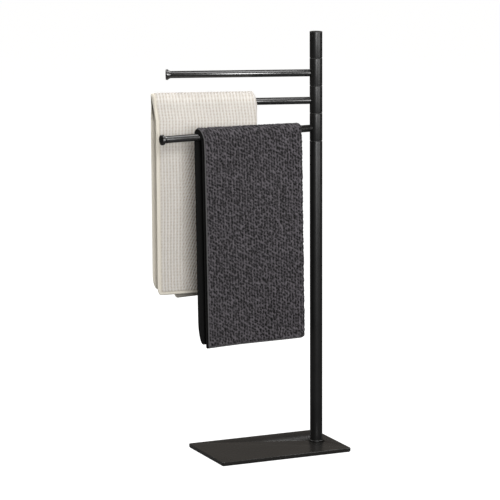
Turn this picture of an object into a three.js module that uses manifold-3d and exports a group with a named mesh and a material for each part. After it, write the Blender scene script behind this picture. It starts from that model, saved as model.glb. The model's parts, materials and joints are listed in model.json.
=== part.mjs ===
// Freestanding towel rack. A flat weighted base carries one round post near its +X end, and three
// arms on rotating collars swing about the post, one above the other. A towel hangs over each of
// the two lower arms.
//
// Millimetres, +Z up. The origin is the centre of the base's footprint, on the floor. At rest the
// arms reach out towards -X, over the base, and -Y is the front.

import * as THREE from 'three';
import { mergeVertices } from 'three/addons/utils/BufferGeometryUtils.js';
import Module from 'manifold-3d';

const wasm = await Module();
wasm.setup();

// ---------------------------------------------------------------- driving dimensions

const gap = 0.3; // clearance between neighbouring pieces
const runningGap = 0.2; // radial clearance of a bush on the spindle

// Facets round the pieces that are seen, and round the small ones inside.
const outerFacets = 40;
const innerFacets = 24;

const rackHeight = 1000;

const base = { length: 335, width: 206, thickness: 8, cornerRadius: 5, edgeRounding: 0.8 };
const pad = { thickness: 2, inset: 2, holeRadius: 12 };

const post = { x: 123.5, radius: 15, wall: 2, edge: 0.5 };
const footRing = { radius: 18, height: 3, edge: 1 };

const bolt = { shankRadius: 4, headRadius: 8, headDepth: 4.4, length: 34 };
const footInsertLength = 30;

const seamSpacing = 65.5; // from one collar's top seam to the next
const topSectionLength = 62.5; // from the highest seam to the top of the post
const seamGap = 1.5;
const washerRadius = 14;

const spindle = { radius: 6, socketDepth: 30 };
const spindlePlugLength = 40;
const sleeveInsertLength = 14;
const waveWasher = { radius: 10, thickness: 1.2 };
const nut = { acrossFlats: 18, height: 8 };
const topCap = { thickness: 3, skirtWall: 1.5, depth: 10 };

const bushLength = 12;

const arm = { radius: 8.5, wall: 1.5, belowCollarTop: 35.5 };
const armInsert = { start: 17, end: 42, boreEnd: 38 };
const stud = { radius: 3, headRadius: 5.75, headStart: 7.9, headEnd: 11.4, end: 36 };
const knob = { radius: 12.5, length: 12.5, neckLength: 5.5, spigotLength: 14, faceRadius: 9.5 };

// From the top arm down: the reach from the post's axis to the knob's face, and how far the arm
// is swung from -X towards the front.
const arms = [
  { reach: 355, swing: -20 },
  { reach: 382.5, swing: -17.7 },
  { reach: 410, swing: 4.2 },
];

// Towels: where they begin and end along the arm, the thickness of one hanging panel (two layers
// of cloth), the radius inside the fold, and how far each panel hangs below the arm's axis.
const beigeTowel = { from: 146, to: 389, panel: 13, foldRadius: 9, front: 457, back: 462 };
const charcoalTowel = { from: 40, to: 309, panel: 10, foldRadius: 9, front: 500, back: 496 };

// ---------------------------------------------------------------- places worked out from them

const baseTop = pad.thickness + base.thickness;
const topSeam = rackHeight - topSectionLength;
const collarLength = seamSpacing - seamGap;
const seams = [0, 1, 2, 3].map((step) => topSeam - step * seamSpacing);
const lowestSeam = seams[3];
const boreRadius = post.radius - post.wall;
const plugRadius = boreRadius - gap;
const tubeBottom = baseTop + gap;
const knobPocket = { radius: knob.radius + gap * 2, start: arms[1].reach - knob.length - gap };

// ---------------------------------------------------------------- finishes

const finishes = {
  postCoat: { color: 0x1b1a1a, roughness: 0.45, metalness: 0.4 },
  baseCoat: { color: 0x2c2b29, roughness: 0.5, metalness: 0.4 },
  armCoat: { color: 0x2a2a2b, roughness: 0.35, metalness: 0.5 },
  plainSteel: { color: 0x9a9c9e, roughness: 0.35, metalness: 1 },
  nylon: { color: 0x0d0d0d, roughness: 0.6, metalness: 0 },
  padRubber: { color: 0x0b0b0b, roughness: 0.85, metalness: 0 },
  beigeTerry: { color: 0xe6e1d8, roughness: 0.95, metalness: 0 },
  charcoalTerry: { color: 0x454247, roughness: 0.95, metalness: 0 },
};

const rack = new THREE.Group();

function addPiece(parent, name, geometry, finish) {
  const piece = new THREE.Mesh(geometry, new THREE.MeshStandardMaterial(finishes[finish]));
  piece.name = name;
  parent.add(piece);
  return piece;
}

// ---------------------------------------------------------------- shapes

// A solid turned about +Z. The profile lists [radius, height] anticlockwise: it either starts and
// ends on the axis or closes on itself.
function turned(profile, segments) {
  const points = profile.map(([radius, height]) => new THREE.Vector2(radius, height));
  return new THREE.LatheGeometry(points, segments).rotateX(Math.PI / 2);
}

function rod(radius, bottom, top, segments) {
  return turned([[0, bottom], [radius, bottom], [radius, top], [0, top]], segments);
}

// A plain ring or tube whose outer edges are chamfered by edge.
function tube(outer, inner, bottom, top, { edge = 0, segments = innerFacets } = {}) {
  const wall = edge > 0
    ? [[outer - edge, bottom], [outer, bottom + edge], [outer, top - edge], [outer - edge, top]]
    : [[outer, bottom], [outer, top]];
  return turned([...wall, [inner, top], [inner, bottom], wall[0]], segments);
}

function roundedRectangle(length, width, radius) {
  const shape = new THREE.Shape();
  const x = length / 2 - radius;
  const y = width / 2 - radius;
  const corners = [[x, -y, -90], [x, y, 0], [-x, y, 90], [-x, -y, 180]];
  for (const [centreX, centreY, start] of corners) {
    const from = THREE.MathUtils.degToRad(start);
    shape.absarc(centreX, centreY, radius, from, from + Math.PI / 2);
  }
  return shape;
}

// Turns a solid made along +Z so that it runs along +X.
function alongArm(geometry) {
  return geometry.rotateY(Math.PI / 2);
}

function toSolid(geometry) {
  const bare = geometry.clone();
  bare.deleteAttribute('normal');
  bare.deleteAttribute('uv');
  const merged = mergeVertices(bare, 1e-4);
  const triangles = [];
  for (let i = 0; i < merged.index.count; i += 3) {
    const [a, b, c] = [0, 1, 2].map((step) => merged.index.getX(i + step));
    if (a !== b && b !== c && c !== a) {
      triangles.push(a, b, c);
    }
  }
  return new wasm.Manifold(new wasm.Mesh({
    numProp: 3,
    vertProperties: new Float32Array(merged.attributes.position.array),
    triVerts: new Uint32Array(triangles),
  }));
}

function toGeometry(solid) {
  const mesh = solid.getMesh();
  const geometry = new THREE.BufferGeometry();
  geometry.setAttribute('position', new THREE.BufferAttribute(mesh.vertProperties, 3));
  geometry.setIndex(new THREE.BufferAttribute(mesh.triVerts, 1));
  return geometry;
}

function cut(geometry, ...tools) {
  const solid = tools.reduce((left, tool) => left.subtract(toSolid(tool)), toSolid(geometry));
  return toGeometry(solid);
}

// ---------------------------------------------------------------- base

function basePad() {
  const outline = roundedRectangle(
    base.length - 2 * pad.inset,
    base.width - 2 * pad.inset,
    base.cornerRadius - pad.inset,
  );
  const boltHole = new THREE.Path();
  boltHole.absarc(post.x, 0, pad.holeRadius, 0, 2 * Math.PI, true);
  outline.holes.push(boltHole);
  const depth = pad.thickness;
  return new THREE.ExtrudeGeometry(outline, { depth, bevelEnabled: false, curveSegments: 6 });
}

// The plate's countersink takes the bolt's head from below.
function basePlate() {
  const outline = roundedRectangle(base.length, base.width, base.cornerRadius);
  const plate = new THREE.ExtrudeGeometry(outline, {
    depth: base.thickness - 2 * base.edgeRounding,
    bevelThickness: base.edgeRounding,
    bevelSize: base.edgeRounding,
    bevelOffset: -base.edgeRounding,
    bevelSegments: 2,
    curveSegments: 6,
  });
  plate.translate(0, 0, pad.thickness + base.edgeRounding);
  const below = pad.thickness - 1;
  const coneTop = pad.thickness + bolt.headDepth + gap;
  const countersink = turned([
    [0, below],
    [bolt.headRadius + gap, below],
    [bolt.headRadius + gap, pad.thickness + gap],
    [bolt.shankRadius + gap, coneTop],
    [bolt.shankRadius + gap, baseTop + 1],
    [0, baseTop + 1],
  ], innerFacets).translate(post.x, 0, 0);
  return cut(plate, countersink);
}

// Countersunk socket screw, its head just inside the plate's underside.
function baseBolt() {
  const underside = pad.thickness + gap;
  const shankStart = underside + bolt.headDepth;
  const bolted = turned([
    [0, underside],
    [bolt.headRadius, underside],
    [bolt.shankRadius, shankStart],
    [bolt.shankRadius, underside + bolt.length],
    [0, underside + bolt.length],
  ], innerFacets);
  const keyRadius = bolt.headRadius * 0.36;
  const hexSocket = rod(keyRadius, underside - 1, underside + bolt.headDepth * 0.6, 6);
  return cut(bolted, hexSocket);
}

// Threaded plug in the post's bottom end, which the bolt screws into.
function footInsert() {
  const bottom = tubeBottom;
  const bore = bolt.shankRadius + gap;
  return tube(plugRadius, bore, bottom, bottom + footInsertLength);
}

function footRingShape() {
  const inner = post.radius + gap;
  const top = tubeBottom + footRing.height;
  const { edge } = footRing;
  return tube(footRing.radius, inner, tubeBottom, top, { edge, segments: outerFacets });
}

const stand = new THREE.Group();
rack.add(stand);
addPiece(stand, 'base_pad', basePad(), 'padRubber');
addPiece(stand, 'base_plate', basePlate(), 'baseCoat');

const postAxis = new THREE.Group();
postAxis.position.x = post.x;
stand.add(postAxis);
addPiece(postAxis, 'base_bolt', baseBolt(), 'plainSteel');
addPiece(postAxis, 'foot_insert', footInsert(), 'plainSteel');
addPiece(postAxis, 'foot_ring', footRingShape(), 'postCoat');

// ---------------------------------------------------------------- post and spindle

function postTube(bottom, top) {
  const { edge } = post;
  return tube(post.radius, boreRadius, bottom, top, { edge, segments: outerFacets });
}

// The spindle is screwed into this plug, which is fixed in the top of the lower post.
function spindlePlug() {
  const top = lowestSeam - seamGap / 2 - gap;
  const bottom = top - spindlePlugLength;
  const socketFloor = top - spindle.socketDepth - gap;
  return turned([
    [0, bottom],
    [plugRadius, bottom],
    [plugRadius, top],
    [spindle.radius + gap, top],
    [spindle.radius + gap, socketFloor],
    [0, socketFloor],
  ], innerFacets);
}

// Inside the top section: the insert rests on the highest washer, then the wave washer and the
// nut press the whole stack of collars together.
const insertBottom = topSeam + seamGap / 2;
const waveWasherBottom = insertBottom + sleeveInsertLength + gap;
const nutBottom = waveWasherBottom + waveWasher.thickness + gap;
const spindleTop = nutBottom + nut.height + 3;

function spindleRod() {
  const bottom = lowestSeam - seamGap / 2 - gap - spindle.socketDepth;
  return rod(spindle.radius, bottom, spindleTop, innerFacets);
}

function sleeveInsert() {
  const top = insertBottom + sleeveInsertLength;
  return tube(plugRadius, spindle.radius + gap, insertBottom, top);
}

function waveWasherShape() {
  const top = waveWasherBottom + waveWasher.thickness;
  return tube(waveWasher.radius, spindle.radius + gap, waveWasherBottom, top);
}

function spindleNut() {
  const cornerRadius = nut.acrossFlats / Math.sqrt(3);
  const block = rod(cornerRadius, nutBottom, nutBottom + nut.height, 6);
  const bore = spindle.radius + gap;
  const thread = rod(bore, nutBottom - 1, nutBottom + nut.height + 1, innerFacets);
  return cut(block, thread);
}

// A hollow plug pressed flush into the top of the post.
function topCapShape() {
  const top = rackHeight - gap;
  const skirtInner = plugRadius - topCap.skirtWall;
  return turned([
    [0, top - topCap.thickness],
    [skirtInner, top - topCap.thickness],
    [skirtInner, top - topCap.depth],
    [plugRadius, top - topCap.depth],
    [plugRadius, top],
    [0, top],
  ], outerFacets);
}

function washer(seam) {
  const bottom = seam - seamGap / 2 + gap;
  const top = seam + seamGap / 2 - gap;
  return tube(washerRadius, spindle.radius + gap, bottom, top, { segments: outerFacets });
}

addPiece(postAxis, 'lower_post', postTube(tubeBottom, lowestSeam - seamGap / 2), 'postCoat');
addPiece(postAxis, 'spindle_plug', spindlePlug(), 'plainSteel');
addPiece(postAxis, 'spindle', spindleRod(), 'plainSteel');
seams.forEach((seam, index) => {
  addPiece(postAxis, `washer_${index + 1}`, washer(seam), 'nylon');
});
addPiece(postAxis, 'sleeve_insert', sleeveInsert(), 'plainSteel');
addPiece(postAxis, 'wave_washer', waveWasherShape(), 'plainSteel');
addPiece(postAxis, 'spindle_nut', spindleNut(), 'plainSteel');
addPiece(postAxis, 'top_sleeve', postTube(topSeam + seamGap / 2, rackHeight), 'postCoat');
addPiece(postAxis, 'top_cap', topCapShape(), 'postCoat');

// ---------------------------------------------------------------- arms
// Each arm's own group sits on the post's axis at the height of the arm, with +X along the arm
// and -Z down. Its collar reaches from belowCollarTop above the arm to the next seam below.

const collarTop = arm.belowCollarTop - seamGap / 2;
const collarBottom = collarTop - collarLength;

function collar() {
  const studHole = alongArm(rod(stud.radius + gap, 0, post.radius * 2, innerFacets));
  return cut(postTube(collarBottom, collarTop), studHole);
}

function bush(bottom) {
  const inner = spindle.radius + runningGap;
  return tube(plugRadius, inner, bottom, bottom + bushLength);
}

// Screw from inside the collar, through its wall and into the arm's insert.
function armStud() {
  return alongArm(turned([
    [0, stud.headStart],
    [stud.headRadius, stud.headStart],
    [stud.headRadius, stud.headEnd],
    [stud.radius, stud.headEnd],
    [stud.radius, stud.end],
    [0, stud.end],
  ], innerFacets));
}

function armInsertShape() {
  const outer = arm.radius - arm.wall - gap;
  const bore = stud.radius + gap;
  return alongArm(turned([
    [bore, armInsert.start],
    [outer, armInsert.start],
    [outer, armInsert.end],
    [0, armInsert.end],
    [0, armInsert.boreEnd],
    [bore, armInsert.boreEnd],
    [bore, armInsert.start],
  ], innerFacets));
}

// The root of the tube is shaped to lie against the round collar.
function armTube(reach) {
  const insideCollar = post.radius * 0.7;
  const end = reach - knob.length;
  const inner = arm.radius - arm.wall;
  const straight = alongArm(tube(arm.radius, inner, insideCollar, end, { segments: outerFacets }));
  const collarSpace = rod(post.radius + gap, -2 * arm.radius, 2 * arm.radius, 2 * outerFacets);
  return cut(straight, collarSpace);
}

// Solid end knob: a spigot inside the tube, a flared neck, a fine groove and a rounded disc.
function armKnob(reach) {
  const neckStart = reach - knob.length + gap;
  const discStart = neckStart + knob.neckLength;
  const groove = 0.6;
  const edge = 1.6;
  const spigot = arm.radius - arm.wall - gap;
  const rimSteps = 3;
  const rim = [];
  for (let step = 0; step <= rimSteps; step += 1) {
    const angle = (step / rimSteps) * (Math.PI / 2);
    rim.push([
      knob.radius - edge + edge * Math.cos(angle),
      reach - edge + edge * Math.sin(angle),
    ]);
  }
  return alongArm(turned([
    [0, neckStart - knob.spigotLength],
    [spigot, neckStart - knob.spigotLength],
    [spigot, neckStart],
    [arm.radius, neckStart],
    [knob.radius - 1.8, discStart],
    [knob.radius - 1.8, discStart + groove],
    [knob.radius - 0.6, discStart + groove],
    [knob.radius, discStart + 2 * groove],
    ...rim,
    [knob.faceRadius, reach],
    [knob.faceRadius - 0.8, reach - 0.6],
    [0, reach - 0.6],
  ], 32));
}

const armGroups = arms.map(({ reach, swing }, index) => {
  const number = index + 1;
  const group = new THREE.Group();
  group.position.set(post.x, 0, seams[index] - arm.belowCollarTop);
  group.rotation.z = Math.PI + THREE.MathUtils.degToRad(swing);
  rack.add(group);
  addPiece(group, `collar_${number}`, collar(), 'postCoat');
  addPiece(group, `bush_upper_${number}`, bush(collarTop - gap - bushLength), 'nylon');
  addPiece(group, `bush_lower_${number}`, bush(collarBottom + gap), 'nylon');
  addPiece(group, `arm_stud_${number}`, armStud(), 'plainSteel');
  addPiece(group, `arm_insert_${number}`, armInsertShape(), 'plainSteel');
  addPiece(group, `arm_tube_${number}`, armTube(reach), 'armCoat');
  addPiece(group, `arm_knob_${number}`, armKnob(reach), 'armCoat');
  return group;
});

// ---------------------------------------------------------------- towels
// Each towel is folded once along its length and hung over its arm as an inverted U.

function towel({ from, to, panel, foldRadius, front, back }) {
  const outer = foldRadius + panel;
  const outline = new THREE.Shape();
  outline.moveTo(outer, -front);
  outline.absarc(0, 0, outer, 0, Math.PI);
  outline.lineTo(-outer, -back);
  outline.lineTo(-foldRadius, -back);
  outline.absarc(0, 0, foldRadius, Math.PI, 0, true);
  outline.lineTo(foldRadius, -front);
  outline.closePath();
  const hanging = new THREE.ExtrudeGeometry(outline, {
    depth: to - from,
    bevelEnabled: false,
    curveSegments: 12,
  });
  const alongX = new THREE.Matrix4().makeBasis(
    new THREE.Vector3(0, 1, 0),
    new THREE.Vector3(0, 0, 1),
    new THREE.Vector3(1, 0, 0),
  );
  return hanging.applyMatrix4(alongX).translate(from, 0, 0);
}

// The beige towel reaches past the knob of its arm, so its fold has a pocket for the knob.
function beigeTowelShape() {
  const pocketEnd = arms[1].reach + gap;
  const pocket = alongArm(rod(knobPocket.radius, knobPocket.start, pocketEnd, innerFacets));
  return cut(towel(beigeTowel), pocket);
}

addPiece(armGroups[1], 'towel_beige', beigeTowelShape(), 'beigeTerry');
addPiece(armGroups[2], 'towel_charcoal', towel(charcoalTowel), 'charcoalTerry');

export default rack;
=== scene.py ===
"""Looks of the freestanding towel rack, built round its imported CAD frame.

Metres, +Z up, in the row's frame: the post stands towards +X, the arms reach towards -X and -Y is
the front. The metal pieces that show are made again here with finer surfaces, and the two towels
are modelled as folded sheets of terry cloth with their ribs and pits in the mesh.
"""

import json
import math

import bmesh
import bpy
import numpy as np
from mathutils import Matrix, Vector


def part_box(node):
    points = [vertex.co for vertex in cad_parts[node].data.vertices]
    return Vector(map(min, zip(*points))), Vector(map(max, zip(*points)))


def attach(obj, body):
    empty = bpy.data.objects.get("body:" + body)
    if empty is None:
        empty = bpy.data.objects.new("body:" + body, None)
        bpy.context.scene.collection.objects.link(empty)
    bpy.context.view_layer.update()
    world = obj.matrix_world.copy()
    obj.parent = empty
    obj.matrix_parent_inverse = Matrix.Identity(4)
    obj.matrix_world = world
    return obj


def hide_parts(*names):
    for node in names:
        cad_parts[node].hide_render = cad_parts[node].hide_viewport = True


MM = 0.001
ON_AXIS = 1e-7

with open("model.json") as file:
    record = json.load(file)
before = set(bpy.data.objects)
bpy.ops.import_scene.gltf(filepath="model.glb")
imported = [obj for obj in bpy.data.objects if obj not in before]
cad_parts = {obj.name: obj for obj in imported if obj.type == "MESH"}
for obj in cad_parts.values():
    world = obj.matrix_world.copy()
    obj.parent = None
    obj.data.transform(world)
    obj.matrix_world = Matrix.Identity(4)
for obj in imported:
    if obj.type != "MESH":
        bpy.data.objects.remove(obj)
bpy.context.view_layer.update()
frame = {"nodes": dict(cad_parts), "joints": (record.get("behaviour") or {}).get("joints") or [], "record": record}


# ------------------------------------------------------------------ places taken from the frame

JOINTS = {joint["child"]: joint for joint in frame["joints"]}
POST_AXIS = Vector(JOINTS["arm_1"]["pos_m"][:2] + [0.0])


def arm_frame(number):
    """The matrix of an arm's own frame: its origin on the post's axis, +X along the arm, +Z up."""
    origin = Vector(JOINTS[f"arm_{number}"]["pos_m"])
    low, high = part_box(f"arm_insert_{number}")
    along = (low + high) / 2 - origin
    turn = math.atan2(along.y, along.x)
    return Matrix.Translation(origin) @ Matrix.Rotation(turn, 4, "Z")


def span(node, matrix):
    """A CAD node's lowest and highest corner in another frame."""
    inverse = np.array(matrix.inverted())
    points = np.array([vertex.co for vertex in frame["nodes"][node].data.vertices])
    points = points @ inverse[:3, :3].T + inverse[:3, 3]
    return points.min(0), points.max(0)


# ------------------------------------------------------------------ mesh helpers


def filleted(corners, steps=5):
    """A closed outline from (x, y, radius) corners, each rounded by its own radius."""
    points = []
    count = len(corners)
    for index, (x, y, radius) in enumerate(corners):
        here = Vector((x, y))
        if radius <= 0:
            points.append(tuple(here))
            continue
        before = (Vector(corners[index - 1][:2]) - here).normalized()
        after = (Vector(corners[(index + 1) % count][:2]) - here).normalized()
        half = before.angle(after) / 2
        centre = here + (before + after).normalized() * radius / math.sin(half)
        start = here + before * radius / math.tan(half) - centre
        end = here + after * radius / math.tan(half) - centre
        sweep = start.angle_signed(end)
        for step in range(steps + 1):
            arm = start.copy()
            arm.rotate(Matrix.Rotation(-sweep * step / steps, 2))
            points.append(tuple(centre + arm))
    return points


def turned(profile, segments=96):
    """Vertices and faces of a body turned about +Z. The profile lists (radius, height) points
    round a closed outline. Points on the axis make a pole."""
    vertices, rings = [], []
    for radius, height in profile:
        if radius < ON_AXIS:
            rings.append([len(vertices)] * segments)
            vertices.append((0.0, 0.0, height))
            continue
        first = len(vertices)
        rings.append(list(range(first, first + segments)))
        for step in range(segments):
            angle = 2 * math.pi * step / segments
            vertices.append((radius * math.cos(angle), radius * math.sin(angle), height))
    faces = []
    for lower, upper in zip(rings, rings[1:] + rings[:1]):
        for step in range(segments):
            following = (step + 1) % segments
            corner = [lower[step], lower[following], upper[following], upper[step]]
            face = list(dict.fromkeys(corner))
            if len(face) > 2:
                faces.append(face)
    return vertices, faces


def new_piece(name, vertices, faces, material, matrix=None, sharp_degrees=40):
    """A smooth-shaded mesh object whose normals point outwards."""
    mesh = bpy.data.meshes.new(name)
    mesh.from_pydata([tuple(v) for v in vertices], [], [list(f) for f in faces])
    if matrix is not None:
        mesh.transform(matrix)
    shaped = bmesh.new()
    shaped.from_mesh(mesh)
    bmesh.ops.recalc_face_normals(shaped, faces=shaped.faces)
    shaped.to_mesh(mesh)
    shaped.free()
    mesh.polygons.foreach_set("use_smooth", [True] * len(mesh.polygons))
    mesh.set_sharp_from_angle(angle=math.radians(sharp_degrees))
    mesh.materials.append(material)
    piece = bpy.data.objects.new(name, mesh)
    bpy.context.scene.collection.objects.link(piece)
    return piece


def settle(piece, body, slot, *nodes):
    """Says what the piece rides on and hides the nodes that it stands for. The slot is not used."""
    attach(piece, body)
    if nodes:
        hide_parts(*nodes)
    return piece


def cut_hole(piece, profile, centre):
    """Takes a turned body out of a piece, with its axis through centre."""
    vertices, faces = turned(profile, 64)
    tool = new_piece("cutter", vertices, faces, piece.data.materials[0], Matrix.Translation(centre))
    modifier = piece.modifiers.new("hole", "BOOLEAN")
    modifier.operation = "DIFFERENCE"
    modifier.solver = "EXACT"
    modifier.object = tool
    depsgraph = bpy.context.evaluated_depsgraph_get()
    mesh = bpy.data.meshes.new_from_object(piece.evaluated_get(depsgraph))
    piece.modifiers.clear()
    piece.data = mesh
    bpy.data.objects.remove(tool)


# ------------------------------------------------------------------ materials


class Shader:
    """A material's node tree, with short ways to add and link nodes."""

    def __init__(self, name):
        self.material = bpy.data.materials.new(name)
        self.material.use_nodes = True
        self.tree = self.material.node_tree
        self.surface = self.tree.nodes["Principled BSDF"]
        self.position = self.add("ShaderNodeTexCoord").outputs["Object"]

    def add(self, kind, **settings):
        node = self.tree.nodes.new(kind)
        for key, value in settings.items():
            setattr(node, key, value)
        return node

    def feed(self, socket, source):
        """Links a source to a socket, or sets the socket to a plain value."""
        if isinstance(source, bpy.types.NodeSocket):
            self.tree.links.new(source, socket)
        else:
            socket.default_value = source

    def noise(self, size, detail=2.0, stretch=(1, 1, 1), position=None):
        """Noise whose features are about size metres across."""
        place = self.add("ShaderNodeMapping")
        place.inputs["Scale"].default_value = [1 / (size * part) for part in stretch]
        self.feed(place.inputs["Vector"], position or self.position)
        texture = self.add("ShaderNodeTexNoise")
        texture.inputs["Scale"].default_value = 1.0
        texture.inputs["Detail"].default_value = detail
        self.feed(texture.inputs["Vector"], place.outputs["Vector"])
        return texture.outputs["Fac"]

    def ramp(self, source, low, high):
        """Maps a factor from 0.3..0.7, where noise lives, to low..high."""
        node = self.add("ShaderNodeMapRange")
        node.inputs["From Min"].default_value = 0.3
        node.inputs["From Max"].default_value = 0.7
        node.inputs["To Min"].default_value = low
        node.inputs["To Max"].default_value = high
        self.feed(node.inputs["Value"], source)
        return node.outputs["Result"]

    def math(self, operation, first, second):
        node = self.add("ShaderNodeMath", operation=operation)
        self.feed(node.inputs[0], first)
        self.feed(node.inputs[1], second)
        return node.outputs[0]

    def mix(self, factor, first, second):
        """Mixes two colours."""
        node = self.add("ShaderNodeMix", data_type="RGBA")
        self.feed(node.inputs["Factor"], factor)
        self.feed(node.inputs["A"], first)
        self.feed(node.inputs["B"], second)
        return node.outputs["Result"]

    def attribute(self, name):
        node = self.add("ShaderNodeAttribute", attribute_name=name)
        return node.outputs["Fac"]

    def bump(self, height, depth, strength=1.0, under=None):
        """Bump of a height from 0 to 1 that stands depth metres proud."""
        node = self.add("ShaderNodeBump")
        node.inputs["Strength"].default_value = strength
        node.inputs["Distance"].default_value = depth
        self.feed(node.inputs["Height"], height)
        if under is not None:
            self.feed(node.inputs["Normal"], under)
        return node.outputs["Normal"]

    def set(self, **values):
        """Feeds the surface's sockets, named in words joined by underscores."""
        for key, value in values.items():
            self.feed(self.surface.inputs[key.replace("_", " ")], value)


def grey(value, warmth=0.0):
    """A neutral colour, a little warmer where warmth is above 0."""
    return (value * (1 + warmth), value, value * (1 - warmth), 1.0)


def powder_coat(name, light, dark, roughness, grain_size, grain_depth, gloss_level):
    """Baked paint: fine orange-peel grain, with faint clouds in colour and gloss."""
    shader = Shader(name)
    clouds = shader.noise(60 * MM, detail=3.0)
    grain = shader.noise(grain_size, detail=2.0)
    colour = shader.mix(shader.ramp(clouds, 0.0, 1.0), dark, light)
    gloss = shader.math("ADD", shader.ramp(clouds, 0.0, 0.03), shader.ramp(grain, -0.02, 0.03))
    shader.set(
        Base_Color=colour,
        Specular_IOR_Level=gloss_level,
        Roughness=shader.math("ADD", gloss, roughness),
        Normal=shader.bump(grain, grain_depth),
    )
    return shader.material


def turned_steel(name):
    """Zinc-plated steel with fine marks round it and cloudy plating."""
    shader = Shader(name)
    marks = shader.noise(0.5 * MM, detail=3.0, stretch=(6, 6, 1))
    clouds = shader.noise(9 * MM, detail=3.0)
    colour = shader.mix(shader.ramp(clouds, 0.0, 1.0), grey(0.42, 0.02), grey(0.56, 0.01))
    shader.set(
        Base_Color=colour,
        Metallic=1.0,
        Roughness=shader.ramp(marks, 0.28, 0.42),
        Normal=shader.bump(marks, 0.03 * MM),
    )
    return shader.material


def moulded_nylon(name):
    """Black nylon with a dull moulded skin."""
    shader = Shader(name)
    skin = shader.noise(0.4 * MM, detail=2.0)
    colour = shader.mix(shader.ramp(skin, 0.0, 1.0), grey(0.012), grey(0.022))
    shader.set(
        Base_Color=colour,
        Roughness=shader.ramp(skin, 0.45, 0.6),
        Normal=shader.bump(skin, 0.03 * MM),
    )
    return shader.material


def foam_rubber(name):
    """Fine-celled anti-slip sheet."""
    shader = Shader(name)
    cells = shader.noise(0.9 * MM, detail=1.0)
    colour = shader.mix(shader.ramp(cells, 0.0, 1.0), grey(0.006), grey(0.018))
    shader.set(
        Base_Color=colour,
        Roughness=shader.ramp(cells, 0.75, 0.95),
        Normal=shader.bump(cells, 0.15 * MM),
    )
    return shader.material


# Painted shade: the side of the front lining that faces into the fold is drawn this share darker.
FOLD_SHADE = 0.7


def terry(name, valley, crest, hem, speckle):
    """Terry cloth. The mesh holds the ribs and pits, and its relief attribute says how high each
    point stands. The valleys get a darker colour than the crests, a painted shade in the hollows of
    the weave. The hem attribute marks what takes the hem's colour. An attribute marks the side of
    the front lining that faces into the fold, whose colour carries a painted shade, darker by
    FOLD_SHADE. Speckle is how much the colour varies from tuft to tuft, and the fine pile is bump."""
    shader = Shader(name)
    relief = shader.attribute("relief")
    hem_share = shader.attribute("hem")
    painted_shade_mask = shader.attribute("painted_shade_mask")
    pile = shader.noise(0.9 * MM, detail=3.0)
    tufts = shader.noise(3.5 * MM, detail=2.0)
    clouds = shader.noise(45 * MM, detail=2.0)
    lift = shader.math("ADD", relief, shader.ramp(tufts, -speckle, speckle))
    # Painted shade: the colour runs from the darker valley colour in the hollows to the crest colour on top.
    cloth = shader.mix(lift, valley, crest)
    shade = shader.math("MULTIPLY", shader.ramp(pile, 0.86, 1.06), shader.ramp(clouds, 0.97, 1.02))
    # Painted shade: the colour on the lining's side inside the front fold is multiplied darker.
    painted_fold_shade_factor = shader.math("SUBTRACT", 1.0, shader.math("MULTIPLY", painted_shade_mask, FOLD_SHADE))
    shade = shader.math("MULTIPLY", shade, painted_fold_shade_factor)
    tone = shader.add("ShaderNodeMix", data_type="RGBA", blend_type="MULTIPLY")
    tone.inputs["Factor"].default_value = 1.0
    shader.feed(tone.inputs["A"], shader.mix(hem_share, cloth, hem))
    shader.feed(tone.inputs["B"], shade)
    soft = shader.bump(pile, 0.35 * MM)
    shader.set(
        Base_Color=tone.outputs["Result"],
        Roughness=shader.ramp(pile, 0.88, 1.0),
        Specular_IOR_Level=0.15,
        Normal=shader.bump(tufts, 0.5 * MM, under=soft),
    )
    return shader.material


POST_COAT = powder_coat(
    "post_coat",
    light=grey(0.005),
    dark=grey(0.0035),
    roughness=0.34,
    grain_size=0.7 * MM,
    grain_depth=0.012 * MM,
    gloss_level=0.36,
)
ARM_COAT = powder_coat(
    "arm_coat",
    light=grey(0.004),
    dark=grey(0.003),
    roughness=0.24,
    grain_size=0.7 * MM,
    grain_depth=0.001 * MM,
    gloss_level=1.0,
)
BASE_COAT = powder_coat(
    "base_coat",
    light=grey(0.009, 0.08),
    dark=grey(0.007, 0.08),
    roughness=0.25,
    grain_size=0.9 * MM,
    grain_depth=0.003 * MM,
    gloss_level=0.45,
)
STEEL = turned_steel("plain_steel")
NYLON = moulded_nylon("nylon")
PAD_RUBBER = foam_rubber("pad_rubber")
BEIGE = terry(
    "beige_terry",
    # The valley colour is a painted warm shade in the hollows of the weave.
    valley=(0.22, 0.165, 0.1, 1),
    crest=(0.53, 0.512, 0.487, 1),
    hem=(0.565, 0.532, 0.463, 1),
    speckle=0.1,
)
CHARCOAL = terry(
    "charcoal_terry",
    # The valley colour is a painted shade, nearly black, in the pits.
    valley=(0.004, 0.004, 0.004, 1),
    crest=(0.085, 0.078, 0.086, 1),
    hem=(0.08, 0.078, 0.08, 1),
    speckle=0.35,
)


# ------------------------------------------------------------------ base


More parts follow.
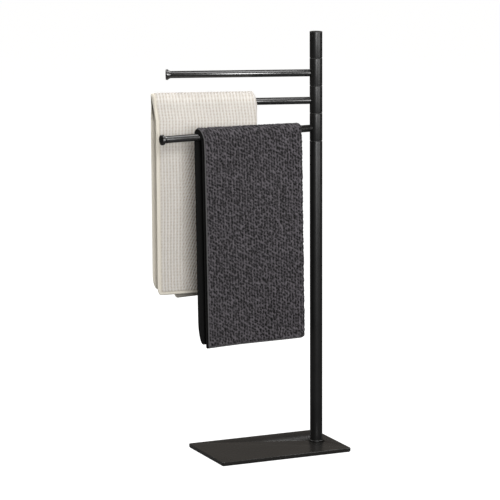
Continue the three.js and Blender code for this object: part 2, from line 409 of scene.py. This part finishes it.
def rounded_slab(low, high, corner_radius, edge_radius, steps=6):
    """Vertices and faces of a flat slab with rounded corners and rounded top and bottom edges."""
    centre = (low + high) / 2
    corner_steps = 8
    edge = []
    for step in range(steps + 1):
        angle = math.pi / 2 * step / steps
        inward = edge_radius * (1 - math.sin(angle))
        edge.append((inward, edge_radius * (1 - math.cos(angle))))
    support = 0.6 * MM
    levels = [(edge_radius + support, low.z)]
    levels += [(inward, low.z + rise) for inward, rise in edge]
    levels += [(inward, high.z - rise) for inward, rise in reversed(edge)]
    levels += [(edge_radius + support, high.z)]
    vertices, rings = [], []
    for inward, height in levels:
        radius = max(corner_radius - inward, 0.05 * MM)
        half_x = (high.x - low.x) / 2 - inward - radius
        half_y = (high.y - low.y) / 2 - inward - radius
        ring = []
        for side_x, side_y, start in ((1, 1, 0), (-1, 1, 90), (-1, -1, 180), (1, -1, 270)):
            for step in range(corner_steps + 1):
                angle = math.radians(start + 90 * step / corner_steps)
                ring.append(len(vertices))
                vertices.append((
                    centre.x + side_x * half_x + radius * math.cos(angle),
                    centre.y + side_y * half_y + radius * math.sin(angle),
                    height,
                ))
        rings.append(ring)
    faces = [rings[0][::-1], rings[-1]]
    for lower, upper in zip(rings, rings[1:]):
        for step in range(len(lower)):
            following = (step + 1) % len(lower)
            faces.append([lower[step], lower[following], upper[following], upper[step]])
    return vertices, faces


def make_base():
    corner = 5 * MM
    low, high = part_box("base_plate")
    vertices, faces = rounded_slab(low, high, corner, 1.0 * MM)
    plate = new_piece("base_plate_coated", vertices, faces, BASE_COAT)
    bolt_low, bolt_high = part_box("base_bolt")
    head = (bolt_high.x - bolt_low.x) / 2 + 0.3 * MM
    shank = head - 4 * MM
    head_rim, head_end = low.z + 0.3 * MM, low.z + 4.4 * MM
    below, above = low.z - 1 * MM, high.z + 1 * MM
    countersink = [(0, below), (head, below), (head, head_rim), (shank, head_end)]
    countersink += [(shank, above), (0, above)]
    cut_hole(plate, countersink, POST_AXIS)
    settle(plate, "stand", "base_coat", "base_plate")

    low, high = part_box("base_pad")
    vertices, faces = rounded_slab(low, high, corner - 2 * MM, 0.3 * MM, steps=3)
    pad = new_piece("base_pad_sheet", vertices, faces, PAD_RUBBER)
    hole = 12 * MM
    through = [(0, low.z - MM), (hole, low.z - MM), (hole, high.z + MM), (0, high.z + MM)]
    cut_hole(pad, through, POST_AXIS)
    settle(pad, "stand", "pad_rubber", "base_pad")


# ------------------------------------------------------------------ post


def round_tube(name, node, body, wall, edge):
    """A length of the post: a tube as tall and wide as its CAD node, its edges rounded."""
    low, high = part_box(node)
    outer = (high.y - low.y) / 2
    inner = outer - wall
    profile = filleted([
        (outer, low.z, edge),
        (outer, high.z, edge),
        (inner, high.z, edge * 0.6),
        (inner, low.z, edge * 0.6),
    ])
    vertices, faces = turned(profile)
    piece = new_piece(name, vertices, faces, POST_COAT, Matrix.Translation(POST_AXIS))
    return settle(piece, body, "post_coat", node)


def make_post():
    wall, edge = 2 * MM, 0.7 * MM
    round_tube("lower_post_tube", "lower_post", "stand", wall, edge)
    round_tube("top_sleeve_tube", "top_sleeve", "stand", wall, edge)
    for number in (1, 2, 3):
        round_tube(f"collar_{number}_tube", f"collar_{number}", f"arm_{number}", wall, edge)

    low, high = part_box("foot_ring")
    outer = (high.y - low.y) / 2
    inner = outer - 2.7 * MM
    profile = filleted([
        (outer, low.z, 0.3 * MM),
        (outer, high.z, 1.4 * MM),
        (inner, high.z, 0.3 * MM),
        (inner, low.z, 0.0),
    ])
    vertices, faces = turned(profile)
    ring = new_piece("foot_trim_ring", vertices, faces, POST_COAT, Matrix.Translation(POST_AXIS))
    settle(ring, "stand", "post_coat", "foot_ring")

    low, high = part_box("top_cap")
    outer = (high.y - low.y) / 2
    inner = outer - 1.5 * MM
    underside = high.z - 3 * MM
    bevel = 0.5 * MM
    profile = [(0, underside), (inner, underside), (inner, low.z), (outer, low.z)]
    profile += [(outer, high.z - bevel), (outer - bevel, high.z), (0, high.z)]
    vertices, faces = turned(profile)
    cap = new_piece("top_cap_disc", vertices, faces, POST_COAT, Matrix.Translation(POST_AXIS))
    settle(cap, "stand", "post_coat", "top_cap")


# ------------------------------------------------------------------ arms

ALONG_X = Matrix.Rotation(math.pi / 2, 4, "Y")


def arm_tube(number, matrix):
    """A round tube whose root is shaped to lie against the collar."""
    low, high = span(f"arm_tube_{number}", matrix)
    outer = (high[2] - low[2]) / 2
    inner = outer - 1.5 * MM
    collar_low, collar_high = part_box(f"collar_{number}")
    seat = (collar_high.y - collar_low.y) / 2 + 0.25 * MM
    edge = 0.5 * MM
    segments = 96
    rings = [(inner, 0.0), (outer - edge, 0.0), (outer - 0.15 * MM, 0.15 * MM), (outer, edge)]
    vertices, faces = [], []
    for radius, inset in rings:
        for step in range(segments):
            angle = 2 * math.pi * step / segments
            y, z = radius * math.cos(angle), radius * math.sin(angle)
            vertices.append((math.sqrt(seat ** 2 - y ** 2) + inset, y, z))
    for radius, inset in reversed(rings):
        for step in range(segments):
            angle = 2 * math.pi * step / segments
            vertices.append((high[0] - inset, radius * math.cos(angle), radius * math.sin(angle)))
    count = 2 * len(rings)
    for ring in range(count):
        for step in range(segments):
            following = (step + 1) % segments
            upper = (ring + 1) % count
            faces.append([
                ring * segments + step,
                ring * segments + following,
                upper * segments + following,
                upper * segments + step,
            ])
    piece = new_piece(f"arm_{number}_rail", vertices, faces, ARM_COAT, matrix)
    return settle(piece, f"arm_{number}", "arm_coat", f"arm_tube_{number}")


def arm_knob(number, matrix):
    """The end knob: spigot, flared neck, fine groove and a rounded disc with a dished face."""
    low, high = span(f"arm_knob_{number}", matrix)
    tip, radius = high[0], (high[2] - low[2]) / 2
    neck = 8.5 * MM
    start = tip - 12.2 * MM
    flare = start + 5.5 * MM
    spigot = 6.7 * MM
    groove = radius - 1.8 * MM
    corners = [
        (spigot, low[0], 0.5 * MM),
        (spigot, start, 0.0),
        (neck, start, 0.3 * MM),
        (neck + 0.4 * MM, start + 2.0 * MM, 3.0 * MM),
        (groove, flare, 0.3 * MM),
        (groove, flare + 0.7 * MM, 0.1 * MM),
        (radius, flare + 0.8 * MM, 0.9 * MM),
        (radius, tip, 2.0 * MM),
        (radius - 3.2 * MM, tip, 0.6 * MM),
        (radius - 4.4 * MM, tip - 0.9 * MM, 0.8 * MM),
    ]
    centre = [(0.0, tip - 0.7 * MM), (0.0, low[0])]
    outline = filleted(corners + [(0.0, tip - 0.9 * MM, 0.0), (0.0, low[0], 0.0)], steps=4)
    profile = [point for point in outline if point[0] > ON_AXIS] + centre
    vertices, faces = turned(profile, 72)
    piece = new_piece(f"arm_{number}_end_knob", vertices, faces, ARM_COAT, matrix @ ALONG_X)
    return settle(piece, f"arm_{number}", "arm_coat", f"arm_knob_{number}")


# ------------------------------------------------------------------ towels

LAYER_GAP = 0.8 * MM

# The mesh: the step from row to row along the cloth, and the steps across it on the face that
# shows, on the lining and inside the fold.
ROW_PITCH = 2.0 * MM
OUTER_PITCH = 1.75 * MM
INNER_PITCH = 7 * MM
HIDDEN_PITCH = 17 * MM

# Where the edges' places are given: this far below the front panel's top, and below the back's.
LOW_SHOULDER = 40 * MM
HIGH_SHOULDER = 5 * MM
BACK_SHOULDER = 10 * MM

# The hem: the width over which the weave gives way to it, its height and its stitches' depth as
# shares of the relief, the stitches' width, and how far from an edge the relief starts.
HEM_BLEND = 2.5 * MM
HEM_HEIGHT = 0.30
STITCH_DEPTH = 0.25
STITCH_WIDTH = 0.9 * MM
EDGE_FADE = 3 * MM

# Past the knob the two panels close up at the top: from this far beyond it, over this length and
# this height, by this share of the distance between them.
CLOSING_START = 1 * MM
CLOSING_LENGTH = 6.5 * MM
CLOSED_HEIGHT = 30 * MM
CLOSED_SHARE = 0.8


def mm(*values):
    """Millimetres in metres."""
    return [value * MM for value in values]


def wave(phase):
    """A wave from 0 to 1 and back, with its crests at whole numbers."""
    return 0.5 + 0.5 * np.cos(2 * math.pi * phase)


def smooth_step(low, high, value):
    """Rises smoothly from 0 at low to 1 at high."""
    share = np.clip((value - low) / (high - low), 0, 1)
    return share * share * (3 - 2 * share)


def ribbed_waffle(across, along):
    """Height from 0 to 1 of a waffle weave whose ribs run along the cloth. Low in front and away
    from the hem, the ribs lean over and stand deeper, so that patch also takes more of the painted
    valley shade and is drawn darker."""
    waffle_pitch, waffle_depth = 7.5 * MM, 0.55
    drift = 0.10 * np.sin(across / (31 * MM)) + 0.12 * np.sin(along / (47 * MM))
    rib = wave(across / waffle_pitch + drift)
    cell = wave(along / waffle_pitch)
    waffle = 1 - waffle_depth * (1 - rib) * (1 - 0.5 * cell)

    leaning_pitch, lean_length, notch_pitch, crinkle_depth = 6.6 * MM, 15 * MM, 8 * MM, 0.85
    sway = 0.18 * np.sin(along / (9 * MM))
    leaning_rib = wave(across / leaning_pitch - along / lean_length + sway)
    notch = wave(along / notch_pitch + 0.2 * np.sin(across / (7 * MM)))
    crinkle = 1 - crinkle_depth * (1 - leaning_rib) * (1 - 0.6 * notch)

    off_the_hem = smooth_step(45 * MM, 85 * MM, across)
    low_in_front = 1 - smooth_step(320 * MM, 400 * MM, along)
    return waffle + (crinkle - waffle) * (off_the_hem * low_in_front)


def pitted_pile(across, along):
    """Height from 0 to 1 of a crinkled weave: ridges that join up round small slanted pits, which
    stand in loose rows along the cloth."""
    row_pitch, pit_pitch = 7.2 * MM, 8.0 * MM
    pit_width, pit_length = 2.4 * MM, 4.2 * MM
    slant, steepness = 0.5, 1.8
    table = 64
    chance = np.random.default_rng(11).uniform(-1, 1, (table, table, 4))
    column = np.floor(across / row_pitch).astype(int)
    pits = np.zeros_like(across)
    for side in (-1, 0, 1):
        here = column + side
        offset = (here % 2) * 0.5 * pit_pitch
        row = np.floor((along - offset) / pit_pitch).astype(int)
        for step in (-1, 0, 1):
            luck = chance[here % table, (row + step) % table]
            centre_across = (here + 0.5 + 0.2 * luck[..., 0]) * row_pitch
            centre_along = (row + step + 0.5 + 0.25 * luck[..., 1]) * pit_pitch + offset
            turn = slant + 0.4 * luck[..., 2]
            size = 1 + 0.2 * luck[..., 3]
            dx, dy = across - centre_across, along - centre_along
            short = (dx * np.cos(turn) + dy * np.sin(turn)) / (pit_width * size)
            long = (dy * np.cos(turn) - dx * np.sin(turn)) / (pit_length * size)
            pits = np.maximum(pits, np.exp(-short ** 2 - long ** 2))
    return (1 - pits) ** steepness


def rounding_in(to_end, corner):
    """How far an edge draws in near the end of the cloth, for a corner's (width, height)."""
    width, height = corner
    return width * (1 - np.sqrt(1 - np.clip(1 - to_end / height, 0, 1) ** 2))


def zipped(first, second):
    """Triangles between two rows of vertices that start together and end together."""
    faces = []
    i = j = 0
    while i < len(first) - 1 or j < len(second) - 1:
        first_is_behind = (i + 1) * (len(second) - 1) <= (j + 1) * (len(first) - 1)
        if j == len(second) - 1 or (i < len(first) - 1 and first_is_behind):
            faces.append([first[i], second[j], first[i + 1]])
            i += 1
        else:
            faces.append([first[i], second[j], second[j + 1]])
            j += 1
    return faces


def towel_faces(rows, counts):
    """The faces of a towel: quads from row to row, and its two ends closed between the layers. The
    counts are the vertices in each stretch of a row."""
    columns = sum(counts)
    index = np.arange(rows * columns).reshape(rows, columns)
    beside = np.roll(index, -1, axis=1)
    quads = np.stack([index[:-1], beside[:-1], beside[1:], index[1:]], axis=2)
    faces = quads.reshape(-1, 4).tolist()
    for ring in (index[0], index[-1]):
        part = np.split(ring, np.cumsum(counts)[:-1])
        face, bent, lining, lining_hem, lining_back, bent_back, face_back, face_hem = (
            stretch.tolist() for stretch in part
        )
        faces += zipped(face, face_back[::-1])
        faces += zipped([face[-1]] + bent + [lining[0]],
                        [face_back[0]] + bent_back[::-1] + [lining_back[-1]])
        faces += zipped(lining, lining_back[::-1])
        faces.append([lining[-1]] + lining_hem + [lining_back[0]])
        faces.append([face_back[-1]] + face_hem + [face[0]])
    return faces


def hang_towel(name, node, number, cloth, material, slot):
    """A towel folded once along its length and hung over an arm, as one closed mesh.

    It is worked out in the arm's own frame. Rows follow the cloth from the front panel's bottom,
    over the arm, to the back panel's bottom. Each row is one closed outline round both layers, in
    eight stretches: the outer layer's face, the fold on the post's side, the lining's face, the
    lining's hem, the lining's back, the fold's inside, the outer layer's back and its hem.
    """
    matrix = arm_frame(number)
    low, high = span(node, matrix)
    arm_top = span(f"arm_tube_{number}", matrix)[1][2]
    outer = high[1] - 0.5 * cloth["relief"]
    inner = arm_top + 0.5 * MM
    radius = (outer + inner) / 2
    half_layer = ((outer - inner) / 2 - LAYER_GAP / 2) / 2
    middle = half_layer + LAYER_GAP / 2
    front, back = -low[2] - cloth["front_short"], -low[2] - cloth["back_short"]
    length = front + math.pi * radius + back
    reach_along_arm = high[0] - low[0]

    even = np.linspace(half_layer, length - half_layer, round(length / ROW_PITCH))
    rounding = half_layer * (1 - np.cos(np.linspace(0.25, math.pi / 2, 5)[:-1]))
    s = np.concatenate([rounding, even, length - rounding[::-1]])[:, None]
    to_end = np.minimum(s, length - s)
    thick = half_layer * np.sqrt(1 - (1 - np.minimum(to_end / half_layer, 1)) ** 2)

    top = front + math.pi * radius / 2
    back_top = front + math.pi * radius + BACK_SHOULDER
    stations = [0, front - LOW_SHOULDER, front - HIGH_SHOULDER, top, back_top, length]
    fold = low[0] + np.interp(s, stations, cloth["fold"])
    fold = fold + rounding_in(to_end, cloth["fold_corner"])
    outer_hem = high[0] + np.interp(s, stations, cloth["outer_hem"])
    outer_hem = outer_hem - rounding_in(s, cloth["front_corner"])
    outer_hem = outer_hem - rounding_in(length - s, cloth["back_corner"])
    inner_hem = outer_hem + np.interp(s, stations, cloth["inner_hem"])
    bend = fold + middle + half_layer
    reach, tuck = middle + thick, middle - thick

    stretches = []

    def add_stretch(x, offset, out_x=0, out_offset=0, across=0, slip=0):
        """Adds a stretch: its places, the way its relief stands, how far it lies across the cloth
        from the hem, and how far it has slipped along it."""
        parts = (x, offset, out_x, out_offset, across, slip)
        stretches.append([np.broadcast_to(part, x.shape) for part in parts])

    def straight(start, end, pitch):
        return start + (end - start) * np.linspace(0, 1, round(reach_along_arm / pitch))

    def turn(count):
        return np.linspace(0, math.pi, count + 2)[None, 1:-1]

    def slipped(x):
        """The lining's slip along the cloth, which grows away from the fold."""
        return cloth["slip"] * (x - bend) / reach_along_arm

    x = straight(outer_hem - half_layer, bend, OUTER_PITCH)
    add_stretch(x, reach, out_offset=1, across=outer_hem - x)
    angle = turn(8)
    x = bend - reach * np.sin(angle)
    arc = outer_hem - bend + (middle + half_layer) * angle
    add_stretch(x, reach * np.cos(angle), -np.sin(angle), np.cos(angle), arc)
    x = straight(bend, inner_hem - half_layer, INNER_PITCH)
    add_stretch(x, -reach, slip=slipped(x))
    angle = turn(3)
    x = inner_hem - half_layer + thick * np.sin(angle)
    add_stretch(x, -middle - thick * np.cos(angle), slip=slipped(x))
    x = straight(inner_hem - half_layer, bend, HIDDEN_PITCH)
    lining_back = len(stretches)
    add_stretch(x, -tuck, slip=slipped(x))
    angle = turn(2)
    x = bend - tuck * np.sin(angle)
    add_stretch(x, -tuck * np.cos(angle))
    x = straight(bend, outer_hem - half_layer, HIDDEN_PITCH)
    add_stretch(x, tuck)
    angle = turn(3)
    x = outer_hem - half_layer + thick * np.sin(angle)
    add_stretch(x, middle - thick * np.cos(angle))
    counts = [stretch[0].shape[1] for stretch in stretches]
    x, offset, out_x, out_offset, across, slip = (
        np.concatenate([stretch[part] for stretch in stretches], axis=1) for part in range(6)
    )

    lean = np.interp(s, [0, length], [1, -1]) * cloth["hem_slope"] * (high[0] - x)
    along = s - slip + lean
    shown = np.hypot(out_x, out_offset)
    from_hem = np.minimum(across, to_end)
    hem = 1 - smooth_step(cloth["hem_width"], cloth["hem_width"] + HEM_BLEND, from_hem)
    height = cloth["weave"](across, along) * (1 - hem)
    stitches = np.exp(-((from_hem - cloth["hem_width"]) / STITCH_WIDTH) ** 2)
    proud = cloth["relief"] * (height + HEM_HEIGHT * hem - STITCH_DEPTH * stitches)
    proud = proud * shown * smooth_step(0, EDGE_FADE, from_hem)
    x = x + out_x * proud
    offset = offset + out_offset * proud

    angle = np.clip((along - front) / radius, 0, math.pi)
    hang_front = np.maximum(front - along, 0)
    hang_back = np.maximum(along - front - math.pi * radius, 0)
    share = (x - low[0]) / reach_along_arm
    y = (radius + offset) * np.cos(angle)
    knob_end = span(f"arm_knob_{number}", matrix)[1][0] + CLOSING_START
    closed = smooth_step(knob_end, knob_end + CLOSING_LENGTH, x)
    closed = closed * np.exp(-((hang_front + hang_back) / CLOSED_HEIGHT) ** 2)
    y *= 1 - CLOSED_SHARE * closed
    y += sum(cloth["sway"](share, hang_front, hang_back))
    swell = 1 + np.interp(share, [0, 1], cloth["swell"]) * np.sin(angle)
    rise = inner + (radius + offset - inner) * swell
    z = rise * np.sin(angle) - hang_front - hang_back

    points = np.stack([x, y, z], axis=2)
    faces = towel_faces(len(points), counts)
    towel = new_piece(name, points.reshape(-1, 3).tolist(), faces, material, matrix, 180)
    # On faces that don't show, the relief attribute holds the cloth's lining_tone instead of a height.
    tone = np.where(shown > 0, height, cloth["lining_tone"])
    lining_hem = np.broadcast_to(cloth["lining_hem"], hem.shape)
    # Marks the front lining's side inside the fold, which takes the painted fold shade.
    painted_shade_mask = np.repeat([float(order == lining_back) for order in range(len(counts))], counts)
    painted_shade_mask = painted_shade_mask * (s < front)
    marks = {"relief": tone, "hem": np.where(shown > 0, hem * shown, lining_hem), "painted_shade_mask": painted_shade_mask}
    for label, values in marks.items():
        attribute = towel.data.attributes.new(label, "FLOAT", "POINT")
        attribute.data.foreach_set("value", values.astype(np.float32).ravel())
    settle(towel, f"arm_{number}", slot, node)
    return towel


def beige_sway(share, hang_front, hang_back):
    """How far the panels stand off their upright plane, in front and behind."""
    in_front = hang_front * (-0.006 + 0.005 * np.sin(7.0 * share + 0.6))
    behind = hang_back * (0.006 + 0.004 * np.sin(6.0 * share + 2.2))
    return in_front, behind


def charcoal_sway(share, hang_front, hang_back):
    """How far the panels stand off their upright plane, in front and behind."""
    in_front = hang_front * (-0.005 + 0.005 * np.sin(5.5 * share + 1.1))
    behind = hang_back * (0.006 + 0.004 * np.sin(6.5 * share + 0.4))
    return in_front, behind


# The two cloths. The lists fold and outer_hem say how far those edges lie from the CAD towel's
# ends, and inner_hem how far the lining's hem lies from outer_hem, at six places along the cloth:
# the front hem, the two shoulders in front, the crest, the back shoulder and the back hem. A corner
# is the (width, height) that it draws in. Swell is how much thicker the crest is than the panels, at
# the fold and at the hem, as a share.
BEIGE_CLOTH = {
    "weave": ribbed_waffle,
    "relief": 2.1 * MM,
    "hem_width": 7 * MM,
    "front_short": 5 * MM,
    "back_short": 13 * MM,
    "fold_corner": mm(9, 9),
    "front_corner": mm(8, 16),
    "back_corner": mm(13, 36),
    "fold": mm(-2.6, -2.6, -2, 3, 0, 1),
    "outer_hem": mm(-8, -7, -1.5, 2.6, 1.5, 1.5),
    "inner_hem": mm(-40, -25, -24, -26, -26, -8),
    "slip": 14 * MM,
    "lining_tone": 1.0,
    "lining_hem": 1.0,
    "hem_slope": 0.03,
    "swell": [0.15, 0.15],
    "sway": beige_sway,
}
CHARCOAL_CLOTH = {
    "weave": pitted_pile,
    "relief": 2.6 * MM,
    "hem_width": 2.2 * MM,
    "front_short": 0,
    "back_short": 4 * MM,
    "fold_corner": mm(9, 9),
    "front_corner": mm(3, 6),
    "back_corner": mm(13, 60),
    "fold": mm(0.8, 7.3, 8, 9, 5, -2),
    "outer_hem": mm(-10, -1.9, -0.2, 8, 7, 2),
    "inner_hem": mm(2.5, 2.5, 2.2, 0, 2, 1),
    "slip": 2 * MM,
    # Painted shade: this tone gives the charcoal towel's inside faces the nearly black valley colour.
    "lining_tone": -0.3,
    "lining_hem": 0.0,
    "hem_slope": 0.0,
    "swell": [-0.4, 0.25],
    "sway": charcoal_sway,
}


# ------------------------------------------------------------------ studio

CAMERA_AZIMUTH = math.radians(-23.99)
CAMERA_ELEVATION = math.radians(10.34)
CAMERA_ROLL = math.radians(-0.26)
CAMERA_DISTANCE = 7.1047
CAMERA_LENS = 216
AIM_SIDEWAYS = -0.0448
AIM_HEIGHT = 0.4866
SENSOR_WIDTH = 36
FAR_CLIP = 200
WORLD_FILL = 0.13


def heading(azimuth, elevation=0.0):
    """The direction from the object towards a place at an azimuth and an elevation."""
    flat = math.cos(elevation)
    return Vector((math.sin(azimuth) * flat, -math.cos(azimuth) * flat, math.sin(elevation)))


def make_camera():
    back = heading(CAMERA_AZIMUTH, CAMERA_ELEVATION)
    right = Vector((math.cos(CAMERA_AZIMUTH), math.sin(CAMERA_AZIMUTH), 0))
    aim = right * AIM_SIDEWAYS + Vector((0, 0, AIM_HEIGHT))
    upright = Matrix((right, back.cross(right), back)).transposed()
    camera = bpy.data.objects.new("camera", bpy.data.cameras.new("camera"))
    camera.data.lens = CAMERA_LENS
    camera.data.sensor_width = SENSOR_WIDTH
    camera.data.clip_end = FAR_CLIP
    turned_by = upright @ Matrix.Rotation(CAMERA_ROLL, 3, "Z")
    camera.matrix_world = Matrix.Translation(aim + back * CAMERA_DISTANCE) @ turned_by.to_4x4()
    bpy.context.scene.collection.objects.link(camera)
    bpy.context.scene.camera = camera


def softbox(name, place, target, width, height, power):
    """A rectangular area light that faces its target. Gives its lamp back."""
    light = bpy.data.lights.new(name, "AREA")
    light.shape = "RECTANGLE"
    light.size, light.size_y = width, height
    light.energy = power
    lamp = bpy.data.objects.new(name, light)
    lamp.location = place
    lamp.rotation_euler = (Vector(target) - Vector(place)).to_track_quat("-Z", "Y").to_euler()
    bpy.context.scene.collection.objects.link(lamp)
    return lamp


def by_camera(tree, shown, given):
    """A shader that the camera sees as shown, while light and reflections get given."""
    path = tree.nodes.new("ShaderNodeLightPath")
    choice = tree.nodes.new("ShaderNodeMixShader")
    tree.links.new(choice.inputs[0], path.outputs["Is Camera Ray"])
    tree.links.new(choice.inputs[1], given)
    tree.links.new(choice.inputs[2], shown)
    return choice.outputs[0]


def make_floor():
    """A plain pale floor: evenly white to the eye, with soft contact shadows, and no brighter in
    reflections than a studio floor that lies outside the lamps' light."""
    half = 60.0
    shader = Shader("studio_floor")
    cloud = shader.noise(0.8, detail=2.0)
    shader.set(
        Base_Color=shader.mix(cloud, grey(0.09), grey(0.11)),
        Roughness=1.0,
        Specular_IOR_Level=0.0,
    )
    paper = shader.add("ShaderNodeBsdfDiffuse")
    paper.inputs["Color"].default_value = grey(0.2)
    glow = shader.add("ShaderNodeEmission")
    glow.inputs["Strength"].default_value = 0.97
    shown = shader.add("ShaderNodeAddShader")
    shader.feed(shown.inputs[0], paper.outputs[0])
    shader.feed(shown.inputs[1], glow.outputs[0])
    output = shader.tree.nodes["Material Output"]
    surface = by_camera(shader.tree, shown.outputs[0], shader.surface.outputs[0])
    shader.feed(output.inputs["Surface"], surface)
    corners = [(-half, -half, 0), (half, -half, 0), (half, half, 0), (-half, half, 0)]
    floor = new_piece("studio_floor", corners, [(0, 1, 2, 3)], shader.material)


def make_world():
    """White where the camera sees it, dim for the light and reflections that it gives."""
    world = bpy.data.worlds.new("studio")
    world.use_nodes = True
    tree = world.node_tree
    dim, white = tree.nodes["Background"], tree.nodes.new("ShaderNodeBackground")
    for background, colour, strength in (
        (dim, grey(1.0, 0.1), WORLD_FILL),
        (white, grey(1.0), 1.0),
    ):
        background.inputs["Color"].default_value = colour
        background.inputs["Strength"].default_value = strength
    surface = by_camera(tree, white.outputs[0], dim.outputs[0])
    tree.links.new(tree.nodes["World Output"].inputs["Surface"], surface)
    bpy.context.scene.world = world


def beside_camera(degrees, distance, height, around=Vector((0, 0, 0))):
    """A place at an angle from the camera, seen from above, and at a distance from a point."""
    return around + heading(CAMERA_AZIMUTH + math.radians(degrees)) * distance + Vector((0, 0, height))


def make_studio():
    make_camera()
    make_floor()
    make_world()
    bpy.context.scene.view_settings.view_transform = "Standard"
    middle = (-0.1, 0, 0.6)
    softbox("overhead_softbox", (-0.1, -0.35, 2.4), (-0.1, -0.1, 0.8), 1.6, 0.9, 20)
    right = beside_camera(55, 1.7, 1.05, around=POST_AXIS)
    softbox("right_softbox", right, POST_AXIS + Vector((0, 0, 1.02)), 1.0, 0.9, 18)
    softbox("front_softbox", beside_camera(12, 3.6, 1.6), (-0.1, 0, 0.55), 1.4, 1.4, 140)
    # The left softbox lights the towels' open ends, and the coats don't mirror it.
    left = softbox("left_softbox", beside_camera(-62, 3.0, 0.9), middle, 0.5, 1.2, 40)
    left.visible_glossy = False
    for side in (50, -50):
        softbox(f"back_softbox_{side}", beside_camera(180 + side, 2.6, 3.2), middle, 1.4, 1.4, 75)



# ------------------------------------------------------------------ the whole


def finish_hidden_pieces():
    """The pieces inside keep their CAD shapes and get finished materials."""
    finishes = {"plain_steel": STEEL, "nylon": NYLON}
    for subpart in frame["record"]["subparts"]:
        finish = finishes.get(subpart["material_slot"])
        if finish is None:
            continue
        node = frame["nodes"][subpart["node"]]
        for slot in node.material_slots:
            slot.material = finish


make_studio()
make_base()
make_post()
for number in (1, 2, 3):
    matrix = arm_frame(number)
    arm_tube(number, matrix)
    arm_knob(number, matrix)
hang_towel("beige_towel", "towel_beige", 2, BEIGE_CLOTH, BEIGE, "beige_terry")
hang_towel("charcoal_towel", "towel_charcoal", 3, CHARCOAL_CLOTH, CHARCOAL, "charcoal_terry")
finish_hidden_pieces()
